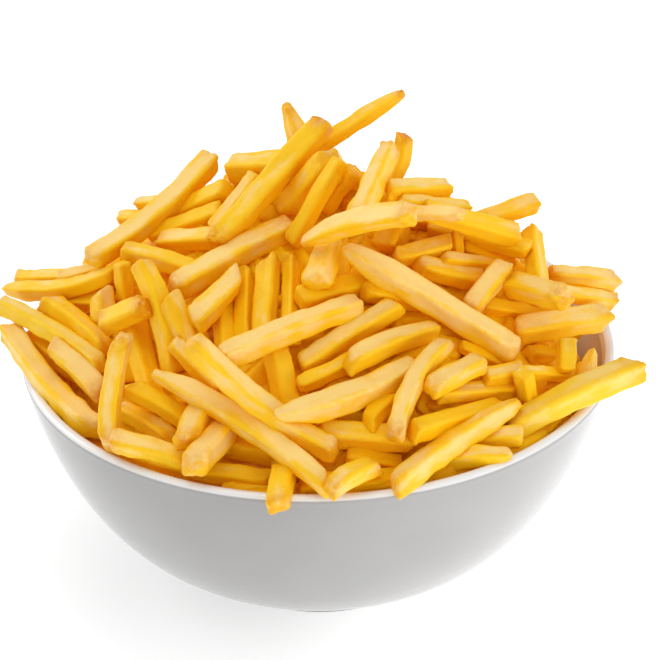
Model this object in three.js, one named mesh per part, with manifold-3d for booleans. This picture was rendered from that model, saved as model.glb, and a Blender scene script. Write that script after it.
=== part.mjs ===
// A white porcelain serving bowl heaped with french fries.
// Millimetres, +Z up, +Y away from the diner, origin on the bowl's axis, level with the surface under it.
// Two solids: the bowl, and the heap of fries as one body that sits in it with a small gap all round.
import * as THREE from 'three';
import { mergeVertices } from 'three/addons/utils/BufferGeometryUtils.js';
import Module from 'manifold-3d';

const wasm = await Module();
wasm.setup();

// ---- bowl ----
const RIM_RADIUS = 100;
const RIM_HEIGHT = 84;
const WALL = 4;
const LIP_RADIUS = WALL / 2;
const BELLY_DEPTH = 78.9; // depth below the rim at which the outer curve would meet the axis
const BELLY_POWER = 1.294;
const BELLY_ROOT = 3.67;
const BELLY_STEPS = [10, 21, 33, 45, 57, 67, 73, 76.2];
const FLOOR_STEPS = [78.3];
const FOOT_RADIUS = 40.5;
const FOOT_EDGE = 0.8;
const LATHE_SEGMENTS = 56;
const CLEARANCE = 0.4; // between the heap and the bowl

// ---- mound of hidden fries, as height above the rim at each radius ----
const MOUND = [
  [0, 47], [20, 47], [36, 43], [50, 37], [62, 30], [72, 22], [79, 14], [85, 3], [91, -12],
];
const MOUND_CREST = [12, 28];
const MOUND_FRONT = { drop: 9, over: 55 }; // how much lower it is in front of its crest, over what distance
const MOUND_BACK = { drop: 14, over: 30 };
const MOUND_SKIN = 0.8; // by which the solid stands above the surface that fries are laid on
const MOUND_SEGMENTS = 40;
const MOUND_FLOOR_GAP = 1.2;

// ---- layout grid: a plane grid square to the diner's line of sight ----
const EYE_DISTANCE = 900; // from the rim's centre
const EYE_ELEVATION = THREE.MathUtils.degToRad(29.06);
const GRID_STEPS = 2660.7; // grid steps per unit of distance
const GRID_CENTRE = 330;
const RIM_ON_GRID = [318.54, 339.19];
const GRID_ROLL = THREE.MathUtils.degToRad(1.05);

// ---- laying ----
const SAMPLES = 13; // points along a fry
const EDGE_ROUND = 0.18; // rounding of a fry's long edges, as a share of its thickness
const CONTACT = 0.86; // distance between touching fries, as a share of their thickness
const SINK = 0.37; // height of a fry's middle over the ground, as a share of its thickness
const REACH = 110; // how far from the rim's centre a fry may start to be laid
const MAX_SLOPE = Math.tan(THREE.MathUtils.degToRad(40));
const TIP_TAPER = 0.92;
const BENT_SEGMENTS = 3;
const OPEN_BELOW = ['s1', 's2', 's5', 's10', 's15', 's17', 's30', 's31', 'h7']; // have only air below them

// The fries that show from the diner's side, in laying order from the bottom up.
// Name, first end and second end on the grid, apparent width in grid steps, share of that width that the
// upper face takes, and how far the middle bows to the upper side in grid steps. The h fries are the ones
// just under the top that the others lean on.
const FRIES = [
  ['h1', 232, 190, 300, 178, 26, 0.6, 0], ['h2', 288, 184, 352, 192, 26, 0.6, 0],
  ['h3', 340, 198, 402, 206, 24, 0.6, 0], ['h4', 140, 215, 232, 197, 22, 0.6, 0],
  ['h5', 400, 218, 470, 226, 22, 0.6, 0], ['h6', 524, 279, 612, 292, 20, 0.6, 0],
  ['h9', 500, 258, 545, 300, 22, 0.6, 0], ['h10', 58, 303, 112, 302, 20, 0.6, 0],
  ['h11', 24, 336, 84, 376, 22, 0.6, 0], ['h12', 44, 384, 102, 434, 20, 0.6, 0],
  ['h7', 20, 286, 120, 272, 17, 0.5, -8], ['h8', 350, 182, 412, 194, 24, 0.6, 0],
  ['s1', 286, 105, 312, 172, 25, 0.6, 0], ['s28', 138, 203, 182, 200, 15, 0.6, 0],
  ['s29', 119, 219, 172, 213, 16, 0.6, 0], ['s30', 16, 278, 80, 277, 17, 0.6, 0],
  ['s32', 60, 279, 105, 266, 18, 0.6, 0], ['s8', 345, 172, 385, 198, 20, 0.6, 0],
  ['s5', 404, 92, 300, 158, 18, 0.6, 0], ['s10', 404, 134, 383, 190, 20, 0.5, -6],
  ['s9b', 370, 197, 405, 195, 14, 0.6, 0], ['s11', 388, 190, 449, 188, 22, 0.6, 1],
  ['s11b', 400, 200, 467, 208, 16, 0.6, 0], ['s15', 537, 202, 470, 223, 22, 0.7, 0],
  ['s17', 551, 274, 614, 281, 21, 0.6, 2], ['s18', 540, 290, 615, 301, 19, 0.6, 0],
  ['s3', 230, 169, 296, 164, 30, 0.5, 0], ['s12a', 229, 191, 150, 225, 25, 0.5, 0],
  ['s12b', 222, 212, 150, 238, 26, 0.5, 0], ['s7b', 352, 168, 322, 212, 24, 0.6, 0],
  ['h13', 336, 170, 300, 196, 26, 0.6, 0], ['s6', 330, 158, 283, 211, 29, 0.6, 0],
  ['s2', 211, 158, 90, 259, 26, 0.6, -8], ['s12', 257, 174, 212, 230, 16, 0.6, 0],
  ['s33', 122, 252, 203, 275, 24, 0.5, 3], ['s34', 159, 241, 222, 238, 24, 0.6, 0],
  ['s4', 326, 121, 215, 243, 28, 0.7, 0], ['s35', 292, 226, 172, 290, 29, 0.5, 2],
  ['s7', 341, 159, 291, 244, 20, 0.55, 0], ['s9', 391, 147, 356, 220, 25, 0.6, 0],
  ['s16', 532, 229, 538, 288, 21, 0.5, 0], ['s14', 428, 226, 529, 250, 20, 0.6, 0],
  ['s13', 425, 210, 517, 236, 24, 0.6, 0], ['s23b', 462, 248, 512, 262, 20, 0.6, 0],
  ['s31', 4, 289, 115, 272, 20, 0.5, -9], ['s21', 396, 222, 386, 250, 34, 0.7, 0],
  ['s23', 456, 234, 458, 256, 15, 0.6, 0], ['s22', 450, 245, 395, 257, 24, 0.6, 0],
  ['s25', 442, 258, 494, 264, 14, 0.6, 0], ['s24', 418, 266, 484, 282, 25, 0.55, 0],
  ['s19', 508, 284, 566, 298, 26, 0.6, 0], ['s43', 222, 300, 226, 350, 24, 0.6, 0],
  ['s40', 246, 268, 243, 345, 20, 0.6, 0], ['s38', 291, 262, 291, 345, 19, 0.6, 0],
  ['s37', 268, 263, 264, 345, 27, 0.7, 0], ['s39', 298, 300, 380, 279, 27, 0.6, 0],
  ['s42', 362, 290, 420, 300, 24, 0.6, 0], ['s41', 333, 238, 316, 284, 29, 0.6, 0],
  ['s20b', 385, 214, 462, 213, 17, 0.7, 0], ['s20', 301, 242, 410, 212, 25, 0.7, 5],
  ['b24', 480, 304, 556, 319, 20, 0.6, 0], ['b22', 528, 354, 556, 354, 18, 0.6, 0],
  ['M', 602, 317, 515, 331, 28, 0.6, 0], ['s26', 504, 267, 468, 310, 25, 0.8, 0],
  ['a13', 122, 262, 126, 300, 20, 0.6, 0], ['a5', 101, 290, 106, 324, 27, 0.6, 0],
  ['a9', 132, 318, 154, 405, 30, 0.6, 0], ['a10', 140, 262, 174, 374, 24, 0.6, 6],
  ['a11', 168, 296, 190, 348, 26, 0.6, 0], ['a4', 47, 302, 107, 351, 27, 0.5, 3],
  ['a6', 101, 325, 146, 305, 25, 0.6, 0], ['a2', 10, 330, 95, 430, 26, 0.7, -6],
  ['a1', -3, 303, 101, 366, 23, 0.5, 4], ['a3', 51, 345, 103, 394, 23, 0.8, 2],
  ['a16', 120, 410, 175, 440, 22, 0.6, 2], ['a15', 128, 388, 190, 425, 24, 0.6, 4],
  ['a14', 172, 342, 218, 388, 20, 0.6, 0], ['c5', 115, 450, 195, 474, 16, 0.6, -2],
  ['c4', 185, 466, 272, 480, 22, 0.6, -2], ['a7', 123, 337, 109, 448, 25, 0.75, 4],
  ['a8', 111, 440, 190, 460, 25, 0.6, 1], ['a17', 205, 402, 187, 444, 27, 0.7, 0],
  ['c3', 227, 428, 192, 467, 31, 0.6, 0], ['s36', 239, 276, 194, 322, 28, 0.7, 0],
  ['b9', 274, 345, 290, 416, 30, 0.6, 0], ['b8', 298, 386, 356, 360, 22, 0.6, 0],
  ['b6', 398, 304, 300, 366, 26, 0.6, 0], ['b7', 436, 329, 348, 364, 27, 0.6, 4],
  ['b2', 360, 304, 223, 358, 28, 0.5, 2], ['b23', 460, 346, 505, 364, 16, 0.6, 0],
  ['b10b', 346, 456, 400, 464, 20, 0.6, 0], ['b10', 325, 433, 412, 440, 30, 0.6, 0],
  ['c1', 284, 466, 278, 507, 25, 0.8, 0], ['b4', 153, 374, 328, 487, 25, 0.7, 9],
  ['b3', 190, 340, 336, 452, 27, 0.5, -8], ['b27', 367, 422, 392, 397, 22, 0.6, 0],
  ['b26', 412, 432, 497, 406, 24, 0.6, 0], ['b5', 276, 416, 414, 366, 31, 0.55, -7],
  ['b13', 516, 388, 438, 395, 23, 0.6, 0], ['b12', 482, 361, 430, 388, 26, 0.6, 0],
  ['b14', 523, 370, 485, 378, 20, 0.6, 0], ['b19', 520, 371, 580, 377, 16, 0.6, 0],
  ['b20', 566, 340, 566, 372, 22, 0.3, 0], ['b21', 593, 350, 585, 380, 20, 0.6, 0],
  ['b25', 523, 372, 530, 404, 20, 0.6, 0], ['b18', 636, 368, 508, 429, 32, 0.45, 2],
  ['b16', 523, 435, 462, 440, 22, 0.6, 0], ['b17', 511, 455, 425, 462, 25, 0.5, 2],
  ['b11', 447, 341, 395, 436, 22, 0.7, 9], ['b15', 520, 402, 394, 488, 27, 0.4, 4],
  ['c2', 376, 464, 330, 489, 25, 0.6, 2], ['s27', 344, 248, 517, 352, 31, 0.5, 0],
];

// Fries on the sides and the back, laid by rule: bands of mound radius, with how many lie in each.
const COVER_BANDS = [[86, 36], [74, 32], [62, 26], [50, 22], [38, 16], [26, 12]];
const COVER_SPREAD = 9; // of a band's radius
const COVER_THICKNESS = [7.5, 9.5];
const COVER_LENGTH = [30, 56];
const COVER_CONTACT = 0.66; // as CONTACT
const COVER_SLOPE = Math.tan(THREE.MathUtils.degToRad(14));
const COVER_LIFT = 1.2; // how much more upright than the mound's own normal such a fry drops
const COVER_REACH = 103; // how far from the bowl's axis a fry laid by rule may go
const COVER_TURN = Math.PI / 2; // how far its direction and its faces are turned by chance
const OVER_LIP = 0.4; // height over the rim, as a share of its thickness, where it may reach over the lip
const WALL_ROOM = 0.55; // room that it keeps to the wall below that, as a share of its thickness
const COVER_SEED = 7;
const COVER_TRIES = 80;
const DRAPE_COUNT = 20; // fries laid flat on the back of the mound between those
const DRAPE_TRIES = 20;
const DRAPE_ARC = [-0.1, 1.1]; // of the half turn at the back
const DRAPE_RADIUS = 84;
const DRAPE_HEIGHT = [0.1, 0.9]; // of its middle over the mound, as a share of its thickness
const DRAPE_TILT = THREE.MathUtils.degToRad(12);
const SKY_MARGIN = 1.4;
const CELL = 4; // of the coarse grid that tells what is hidden

const RIM_CENTRE = new THREE.Vector3(0, 0, RIM_HEIGHT);

// ---- small helpers ----

function clamp(value, low, high) {
  return Math.min(high, Math.max(low, value));
}

function interpolate(table, x) {
  for (let i = 1; i < table.length; i += 1) {
    if (x <= table[i][0]) {
      const [x0, y0] = table[i - 1];
      const [x1, y1] = table[i];
      return y0 + ((y1 - y0) * (x - x0)) / (x1 - x0);
    }
  }
  return table[table.length - 1][1];
}

// A closed solid from a three.js geometry: welded, without empty triangles.
function solidFrom(geometry) {
  const bare = geometry.clone();
  bare.deleteAttribute('normal');
  bare.deleteAttribute('uv');
  const welded = mergeVertices(bare, 1e-4);
  const index = welded.index.array;
  const kept = [];
  for (let i = 0; i < index.length; i += 3) {
    const [a, b, c] = [index[i], index[i + 1], index[i + 2]];
    if (a !== b && b !== c && c !== a) {
      kept.push(a, b, c);
    }
  }
  return new wasm.Manifold(new wasm.Mesh({
    numProp: 3,
    vertProperties: new Float32Array(welded.attributes.position.array),
    triVerts: new Uint32Array(kept),
  }));
}

function geometryFrom(solid) {
  const mesh = solid.getMesh();
  const geometry = new THREE.BufferGeometry();
  geometry.setAttribute('position', new THREE.BufferAttribute(mesh.vertProperties, 3));
  geometry.setIndex(new THREE.BufferAttribute(mesh.triVerts, 1));
  return mergeVertices(geometry, 1e-4);
}

// A solid of revolution about Z from [radius, height] pairs, listed anticlockwise, both ends on the axis.
function revolve(profile, segments) {
  const points = profile.map(([r, z]) => new THREE.Vector2(r, z));
  return new THREE.LatheGeometry(points, segments).rotateX(Math.PI / 2);
}

// ---- bowl ----

function outerRadius(depth) {
  return RIM_RADIUS * (1 - (depth / BELLY_DEPTH) ** BELLY_POWER) ** (1 / BELLY_ROOT);
}

// A point on the outer curve moved inward by a distance, negative to move it outward.
function bellyPoint(depth, inward) {
  const step = 0.05;
  const dr = outerRadius(depth + step) - outerRadius(depth - step);
  const dz = -2 * step;
  const length = Math.hypot(dr, dz);
  return [outerRadius(depth) + (inward * dz) / length, RIM_HEIGHT - depth - (inward * dr) / length];
}

// The bowl's outline from the axis below to the axis above, grown all round by a margin.
function bowlProfile(margin) {
  const profile = [
    [0, -margin],
    [FOOT_RADIUS - FOOT_EDGE + margin, -margin],
    [FOOT_RADIUS + margin, FOOT_EDGE - margin],
  ];
  for (const depth of [...BELLY_STEPS].reverse()) {
    profile.push(bellyPoint(depth, -margin));
  }
  const lipCentre = [RIM_RADIUS - LIP_RADIUS, RIM_HEIGHT - LIP_RADIUS];
  for (const degrees of [0, 40, 90, 140, 180]) {
    const angle = THREE.MathUtils.degToRad(degrees);
    const reach = LIP_RADIUS + margin;
    profile.push([lipCentre[0] + reach * Math.cos(angle), lipCentre[1] + reach * Math.sin(angle)]);
  }
  for (const depth of [...BELLY_STEPS, ...FLOOR_STEPS]) {
    profile.push(bellyPoint(depth, WALL + margin));
  }
  profile.push([0, RIM_HEIGHT - BELLY_DEPTH + WALL + margin]);
  return profile;
}

const INNER_WALL = [...BELLY_STEPS, ...FLOOR_STEPS].map((depth) => bellyPoint(depth, WALL));

function innerRadius(z) {
  const table = [...INNER_WALL].reverse().map(([r, height]) => [height, r]);
  return z >= table[table.length - 1][0] ? RIM_RADIUS - WALL : interpolate(table, Math.max(z, table[0][0]));
}

// ---- ground: what the first fries rest on ----

function moundHeight(x, y) {
  const front = MOUND_FRONT.drop * clamp((MOUND_CREST[0] - y) / MOUND_FRONT.over, 0, 1);
  const back = MOUND_BACK.drop * clamp((y - MOUND_CREST[1]) / MOUND_BACK.over, 0, 1);
  return RIM_HEIGHT + interpolate(MOUND, Math.hypot(x, y)) - back - front;
}

// The mound's upward normal at a place.
function moundNormal(x, y) {
  const dx = (moundHeight(x + 2, y) - moundHeight(x - 2, y)) / 4;
  const dy = (moundHeight(x, y + 2) - moundHeight(x, y - 2)) / 4;
  return new THREE.Vector3(-dx, -dy, 1).normalize();
}

// Distance from a point to the mound, the lip and the walls, negative inside them.
function groundClearance(point) {
  const r = Math.hypot(point.x, point.y);
  const above = (point.z - moundHeight(point.x, point.y)) * moundNormal(point.x, point.y).z;
  const lip = Math.hypot(r - RIM_RADIUS + LIP_RADIUS, point.z - RIM_HEIGHT + LIP_RADIUS) - LIP_RADIUS;
  if (r > RIM_RADIUS - LIP_RADIUS) {
    return point.z > RIM_HEIGHT - LIP_RADIUS ? lip : Math.min(lip, r - outerRadius(RIM_HEIGHT - point.z));
  }
  if (point.z > RIM_HEIGHT - LIP_RADIUS) {
    return Math.min(above, lip);
  }
  return Math.min(above, lip, innerRadius(point.z) - r);
}

// ---- laying the fries ----

// The layout grid's own directions, seen from the eye.
function gridView() {
  const forward = new THREE.Vector3(0, Math.cos(EYE_ELEVATION), -Math.sin(EYE_ELEVATION));
  const right = new THREE.Vector3(1, 0, 0);
  const up = new THREE.Vector3().crossVectors(right, forward);
  const eye = RIM_CENTRE.clone().addScaledVector(forward, -EYE_DISTANCE);
  const turn = Math.atan((RIM_ON_GRID[0] - GRID_CENTRE) / GRID_STEPS);
  const tilt = Math.atan((RIM_ON_GRID[1] - GRID_CENTRE) / GRID_STEPS);
  forward.applyAxisAngle(up, turn);
  right.applyAxisAngle(up, turn);
  forward.applyAxisAngle(right, tilt);
  up.applyAxisAngle(right, tilt);
  right.applyAxisAngle(forward, GRID_ROLL);
  up.applyAxisAngle(forward, GRID_ROLL);
  return { eye, forward, right, up };
}

const VIEW = gridView();

function gridDirection(u, v) {
  return VIEW.forward.clone()
    .addScaledVector(VIEW.right, (u - GRID_CENTRE) / GRID_STEPS)
    .addScaledVector(VIEW.up, -(v - GRID_CENTRE) / GRID_STEPS)
    .normalize();
}

function gridPoint(point) {
  const offset = point.clone().sub(VIEW.eye);
  const depth = offset.dot(VIEW.forward);
  return [
    GRID_CENTRE + (GRID_STEPS * offset.dot(VIEW.right)) / depth,
    GRID_CENTRE - (GRID_STEPS * offset.dot(VIEW.up)) / depth,
    depth,
  ];
}

// How far up its line a fry's point must sit to rest on the ground and on the fries laid before it, and how
// far from the ground the line passes where it meets neither.
function restHeight(origin, direction, thickness, laid, contact) {
  const probe = new THREE.Vector3();
  let gap = Infinity;
  let nearest = 0;
  for (let t = REACH; t > -REACH && gap > 0; t -= 1) {
    const clear = groundClearance(probe.copy(origin).addScaledVector(direction, t)) - SINK * thickness;
    if (clear < gap) {
      gap = clear;
      nearest = t;
    }
  }
  let height = gap < 0 ? nearest : -Infinity;
  const offset = new THREE.Vector3();
  for (const other of laid) {
    const reach = (contact * (thickness + other.thickness)) / 2;
    for (const point of other.points) {
      offset.copy(point).sub(origin);
      const along = offset.dot(direction);
      const off2 = offset.lengthSq() - along * along;
      if (off2 < reach * reach) {
        height = Math.max(height, along + Math.sqrt(reach * reach - off2));
      }
    }
  }
  return { height, gap, nearest };
}

// The straight line over the rest heights that touches them on both sides of the middle, or a level one
// where they are all on one side.
function restLine(heights, maxSlope) {
  const last = heights.length - 1;
  const middle = last / 2;
  let best = [-Infinity, 0];
  for (let i = 0; i <= middle; i += 1) {
    for (let j = Math.ceil(middle); j <= last; j += 1) {
      if (i !== j && heights[i] > -Infinity && heights[j] > -Infinity) {
        const slope = (heights[j] - heights[i]) / (j - i);
        const atMiddle = heights[i] + slope * (middle - i);
        if (atMiddle > best[0]) {
          best = [atMiddle, slope];
        }
      }
    }
  }
  const slope = clamp(best[1], -maxSlope, maxSlope);
  const base = heights.reduce((most, height, k) => Math.max(most, height - slope * k), -Infinity);
  return heights.map((_, k) => base + slope * k);
}

// A fry along lines that run up to where it comes to rest.
function lay(origins, directions, thickness, laid, contact, maxSlope) {
  const rests = origins.map((origin, k) => restHeight(origin, directions[k], thickness, laid, contact));
  const heights = rests.map((rest) => rest.height);
  if (Math.max(...heights) === -Infinity) {
    const closest = rests.reduce((a, b) => (b.gap < a.gap ? b : a));
    heights[rests.indexOf(closest)] = closest.nearest;
  }
  const step = origins[0].distanceTo(origins[SAMPLES - 1]) / (SAMPLES - 1);
  const line = restLine(heights, maxSlope * step);
  return origins.map((origin, k) => origin.clone().addScaledVector(directions[k], line[k]));
}

// A fry read from the grid.
function layShown([name, u1, v1, u2, v2, width, share, bow], laid) {
  const length = Math.hypot(u2 - u1, v2 - v1);
  let across = [(v2 - v1) / length, -(u2 - u1) / length];
  if (across[1] > 0 || (Math.abs(across[1]) < 1e-9 && across[0] > 0)) {
    across = [-across[0], -across[1]];
  }
  const origins = [];
  const directions = [];
  for (let k = 0; k < SAMPLES; k += 1) {
    const s = k / (SAMPLES - 1);
    const lift = 4 * s * (1 - s) * bow;
    const ray = gridDirection(u1 + (u2 - u1) * s + across[0] * lift, v1 + (v2 - v1) * s + across[1] * lift);
    origins.push(VIEW.eye.clone().addScaledVector(ray, EYE_DISTANCE));
    directions.push(ray.clone().negate());
  }
  const turn = Math.atan2(1 - share, share);
  const spread = Math.cos(turn) + Math.sin(turn);
  const squareWidth = spread - 2 * EDGE_ROUND * (spread - 1);
  let thickness = ((width * EYE_DISTANCE) / GRID_STEPS) / squareWidth;
  let points = lay(origins, directions, thickness, laid, CONTACT, MAX_SLOPE);
  const nearer = points[(SAMPLES - 1) / 2].distanceTo(VIEW.eye) / EYE_DISTANCE;
  thickness *= nearer;
  points = lay(origins, directions, thickness, laid, CONTACT, MAX_SLOPE);
  const toEye = directions[(SAMPLES - 1) / 2];
  const upper = VIEW.right.clone().multiplyScalar(across[0]).addScaledVector(VIEW.up, -across[1]);
  const face = toEye.clone().multiplyScalar(Math.cos(turn)).addScaledVector(upper, Math.sin(turn));
  return { name, points, thickness, face, segments: bow === 0 ? 1 : BENT_SEGMENTS };
}

// A seeded draw of numbers from 0 to 1.
function drawer(seed) {
  let state = seed;
  return () => {
    state = (state * 1664525 + 1013904223) % 4294967296;
    return state / 4294967296;
  };
}

// The nearest depth of the shown fries and the mound at each cell of a coarse grid, lower gaps filled.
function depthScreen(shown) {
  const cells = Math.ceil((2 * GRID_CENTRE) / CELL);
  const depths = new Array(cells * cells + 1).fill(Infinity); // the last one is for all outside the grid
  const solid = new Array(cells * cells + 1).fill(false);
  for (const fry of shown) {
    for (let k = 0; k < SAMPLES - 1; k += 1) {
      for (const share of [0, 0.5, 1]) {
        const [u, v, depth] = gridPoint(fry.points[k].clone().lerp(fry.points[k + 1], share));
        const reach = (0.5 * fry.thickness * GRID_STEPS) / depth;
        forCells(u, v, reach, cells, (cell) => {
          depths[cell] = Math.min(depths[cell], depth);
          solid[cell] = solid[cell] || !OPEN_BELOW.includes(fry.name);
        });
      }
    }
  }
  const probe = new THREE.Vector3();
  for (let row = 0; row < cells; row += 1) {
    for (let column = 0; column < cells; column += 1) {
      const ray = gridDirection((column + 0.5) * CELL, (row + 0.5) * CELL);
      const cell = row * cells + column;
      for (let t = EYE_DISTANCE - REACH; t < Math.min(EYE_DISTANCE + REACH, depths[cell]); t += 2) {
        if (groundClearance(probe.copy(VIEW.eye).addScaledVector(ray, t)) < 0) {
          depths[cell] = t * ray.dot(VIEW.forward);
          solid[cell] = true;
        }
      }
    }
  }
  for (let column = 0; column < cells; column += 1) {
    let above = Infinity;
    for (let cell = column; cell < cells * cells; cell += cells) {
      if (depths[cell] === Infinity) {
        depths[cell] = above;
      }
      if (solid[cell]) {
        above = depths[cell];
      }
    }
  }
  return { cells, depths };
}

function forCells(u, v, reach, cells, visit) {
  const lastRow = Math.floor((v + reach) / CELL);
  const lastColumn = Math.floor((u + reach) / CELL);
  for (let row = Math.floor((v - reach) / CELL); row <= lastRow; row += 1) {
    for (let column = Math.floor((u - reach) / CELL); column <= lastColumn; column += 1) {
      const inside = row >= 0 && row < cells && column >= 0 && column < cells;
      if (Math.hypot((column + 0.5) * CELL - u, (row + 0.5) * CELL - v) <= reach) {
        visit(inside ? row * cells + column : cells * cells);
      }
    }
  }
}

// Whether all of a fry lies behind the shown fries and the mound, seen from the eye.
function isHidden(fry, screen) {
  for (const point of fry.points) {
    const [u, v, depth] = gridPoint(point);
    let hidden = true;
    forCells(u, v, ((0.5 * fry.thickness + SKY_MARGIN) * GRID_STEPS) / depth, screen.cells, (cell) => {
      hidden = hidden && screen.depths[cell] < depth;
    });
    if (!hidden) {
      return false;
    }
  }
  return true;
}

// Whether a fry laid by rule lies inside the bowl or over its lip.
function isHeld(fry) {
  return fry.points.every((point) => {
    const radius = Math.hypot(point.x, point.y);
    const overLip = point.z > RIM_HEIGHT + OVER_LIP * fry.thickness;
    return radius < (overLip ? COVER_REACH : innerRadius(point.z) - WALL_ROOM * fry.thickness);
  });
}

// What a fry laid by rule starts from: its size and turns by chance, its middle on the mound, and the
// mound's directions there.
function startOf(radius, angle, draw) {
  const thickness = COVER_THICKNESS[0] + draw() * (COVER_THICKNESS[1] - COVER_THICKNESS[0]);
  const length = COVER_LENGTH[0] + draw() * (COVER_LENGTH[1] - COVER_LENGTH[0]);
  const heading = (draw() + draw() - 1) * COVER_TURN;
  const turn = (draw() - 0.5) * COVER_TURN;
  const middle = new THREE.Vector3(radius * Math.cos(angle), radius * Math.sin(angle), 0);
  middle.z = moundHeight(middle.x, middle.y);
  const normal = moundNormal(middle.x, middle.y);
  const around = new THREE.Vector3(-Math.sin(angle), Math.cos(angle), 0);
  around.addScaledVector(normal, -around.dot(normal)).normalize();
  const down = new THREE.Vector3().crossVectors(around, normal);
  const along = around.clone().multiplyScalar(Math.cos(heading)).addScaledVector(down, Math.sin(heading));
  const side = new THREE.Vector3().crossVectors(normal, along);
  const face = normal.clone().multiplyScalar(Math.cos(turn)).addScaledVector(side, Math.sin(turn));
  return { thickness, length, middle, normal, along, face };
}

function pointsAlong(middle, along, length) {
  const points = [];
  for (let k = 0; k < SAMPLES; k += 1) {
    points.push(middle.clone().addScaledVector(along, (k / (SAMPLES - 1) - 0.5) * length));
  }
  return points;
}

// A fry that comes to rest on the mound and on those laid before it, or null where it would show.
function layCover(radius, angle, draw, laid, screen) {
  const { thickness, length, middle, normal, along, face } = startOf(radius, angle, draw);
  const over = middle.clone().addScaledVector(normal, 0.5 * thickness);
  if (!isHidden({ points: [over], thickness }, screen)) {
    return null;
  }
  const rise = normal.clone().add(new THREE.Vector3(0, 0, COVER_LIFT)).normalize();
  const origins = pointsAlong(middle, along, length);
  const points = lay(origins, origins.map(() => rise), thickness, laid, COVER_CONTACT, COVER_SLOPE);
  const fry = { name: 'cover', points, thickness, face, segments: 1 };
  return isHeld(fry) && isHidden(fry, screen) ? fry : null;
}

// A fry flat on the back of the mound whatever else lies there, or null where it would show.
function layDrape(draw, screen) {
  const angle = Math.PI * (DRAPE_ARC[0] + draw() * (DRAPE_ARC[1] - DRAPE_ARC[0]));
  const start = startOf(DRAPE_RADIUS * Math.sqrt(draw()), angle, draw);
  const { thickness, length, middle, normal, along, face } = start;
  const tilt = (2 * draw() - 1) * DRAPE_TILT;
  const height = DRAPE_HEIGHT[0] + draw() * (DRAPE_HEIGHT[1] - DRAPE_HEIGHT[0]);
  middle.addScaledVector(normal, height * thickness);
  along.multiplyScalar(Math.cos(tilt)).addScaledVector(normal, Math.sin(tilt));
  const fry = { name: 'drape', points: pointsAlong(middle, along, length), thickness, face, segments: 1 };
  return isHeld(fry) && isHidden(fry, screen) ? fry : null;
}

function layAll() {
  const shown = [];
  for (const row of FRIES) {
    shown.push(layShown(row, shown));
  }
  const screen = depthScreen(shown);
  const draw = drawer(COVER_SEED);
  const cover = [];
  const drape = [];
  for (let i = 0; i < DRAPE_COUNT; i += 1) {
    for (let attempt = 0; attempt < DRAPE_TRIES && drape.length <= i; attempt += 1) {
      drape.push(...[layDrape(draw, screen)].filter(Boolean));
    }
  }
  for (const [radius, count] of COVER_BANDS) {
    for (let i = 0; i < count; i += 1) {
      let fry = null;
      for (let attempt = 0; attempt < COVER_TRIES && !fry; attempt += 1) {
        const angle = ((i + draw()) / count) * 2 * Math.PI;
        const away = radius + (draw() - 0.5) * COVER_SPREAD;
        fry = layCover(away, angle, draw, [...shown, ...cover], screen);
      }
      if (fry) {
        cover.push(fry);
      }
    }
  }
  return { shown, cover: [...drape, ...cover] };
}

// ---- solids ----

// A square bar bent along a fry's points, slightly narrower at its ends.
function fryGeometry({ points, thickness, face, segments }) {
  const geometry = new THREE.BoxGeometry(1, 1, 1, 1, 1, segments);
  const position = geometry.attributes.position;
  const along = points[SAMPLES - 1].clone().sub(points[0]).normalize();
  const first = face.clone().addScaledVector(along, -face.dot(along)).normalize();
  const second = new THREE.Vector3().crossVectors(along, first);
  const vertex = new THREE.Vector3();
  for (let i = 0; i < position.count; i += 1) {
    vertex.fromBufferAttribute(position, i);
    const k = Math.round((vertex.z + 0.5) * segments);
    const size = thickness * (segments > 1 && (k === 0 || k === segments) ? TIP_TAPER : 1);
    const centre = points[(k * (SAMPLES - 1)) / segments];
    const moved = centre.clone()
      .addScaledVector(first, vertex.x * size)
      .addScaledVector(second, vertex.y * size);
    position.setXYZ(i, moved.x, moved.y, moved.z);
  }
  return geometry;
}

function moundGeometry() {
  const profile = [[0, RIM_HEIGHT - BELLY_DEPTH + WALL + MOUND_FLOOR_GAP]];
  for (const depth of [78.3, 76.2, 67, 45, 21]) {
    const [r, z] = bellyPoint(depth, WALL + MOUND_FLOOR_GAP);
    profile.push([r, z]);
  }
  const top = MOUND.map(([r]) => r).reverse();
  const geometry = revolve([...profile, ...top.map((r) => [r, 2 * RIM_HEIGHT])], MOUND_SEGMENTS);
  const position = geometry.attributes.position;
  for (let i = 0; i < position.count; i += 1) {
    if (position.getZ(i) > 1.5 * RIM_HEIGHT) {
      position.setZ(i, moundHeight(position.getX(i), position.getY(i)) + MOUND_SKIN);
    }
  }
  return geometry;
}

function heapSolid() {
  const { shown, cover } = layAll();
  const parts = [solidFrom(moundGeometry())];
  for (const fry of [...shown, ...cover]) {
    parts.push(solidFrom(fryGeometry(fry)));
  }
  const heap = wasm.Manifold.union(parts);
  const cutter = solidFrom(revolve(bowlProfile(CLEARANCE), LATHE_SEGMENTS));
  const bodies = heap.subtract(cutter).decompose();
  bodies.sort((a, b) => b.volume() - a.volume());
  return bodies[0];
}

// ---- assembly ----

function piece(name, geometry, color, roughness) {
  const mesh = new THREE.Mesh(geometry, new THREE.MeshStandardMaterial({ color, roughness }));
  mesh.name = name;
  return mesh;
}

const group = new THREE.Group();
group.name = 'bowl_of_fries';
group.add(piece('bowl', geometryFrom(solidFrom(revolve(bowlProfile(0), LATHE_SEGMENTS))), 0xf4f2ee, 0.25));
group.add(piece('fries', geometryFrom(heapSolid()), 0xf2b43a, 0.6));

export default group;
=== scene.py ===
"""A white porcelain bowl heaped with french fries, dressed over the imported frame.

Metres, +Z up, +Y away from the diner, origin under the bowl.
"""
import math

import bpy
import numpy as np
from mathutils import Matrix


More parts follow.
